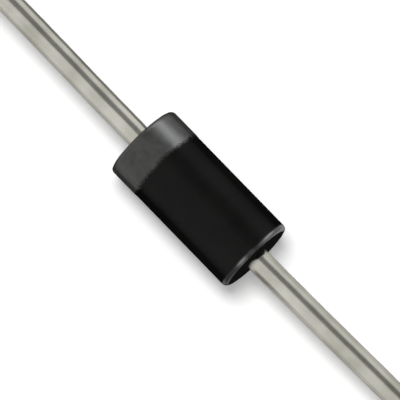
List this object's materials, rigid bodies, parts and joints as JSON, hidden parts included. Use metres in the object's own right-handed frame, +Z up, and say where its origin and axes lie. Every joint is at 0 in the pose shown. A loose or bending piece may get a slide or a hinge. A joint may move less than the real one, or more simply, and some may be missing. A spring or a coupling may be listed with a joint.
{
  "type": "axial rectifier diode",
  "caption": "Small rectifier diode: a black moulded cylinder with a silver-grey cathode band and a straight tinned wire lead out of each end.",
  "frame": {"origin": "middle of the moulded body, on the axis of the leads", "axes": "+X along the axis from the cathode (banded) end to the anode (plain) end, +Z up, the joint of the mould in the XY plane"},
  "size_m": [0.06, 0.0026, 0.0026],
  "materials": {
    "body_epoxy": "satin black moulding compound with a fine moulded grain",
    "band_ink": "silver-grey printed ink, thin and slightly mottled",
    "tinned_wire": "tinned copper wire, satin, with fine draw marks along it",
    "silicon": "etched silicon, dark grey",
    "solder": "dull grey solder",
    "coating_resin": "soft off-white silicone resin"
  },
  "bodies": {
    "root": {"moulded_body": "body_epoxy", "cathode_band": "band_ink", "cathode_lead": "tinned_wire", "anode_lead": "tinned_wire", "silicon_die": "silicon", "cathode_solder": "solder", "anode_solder": "solder", "junction_coating": "coating_resin"}
  },
  "joints": []
}
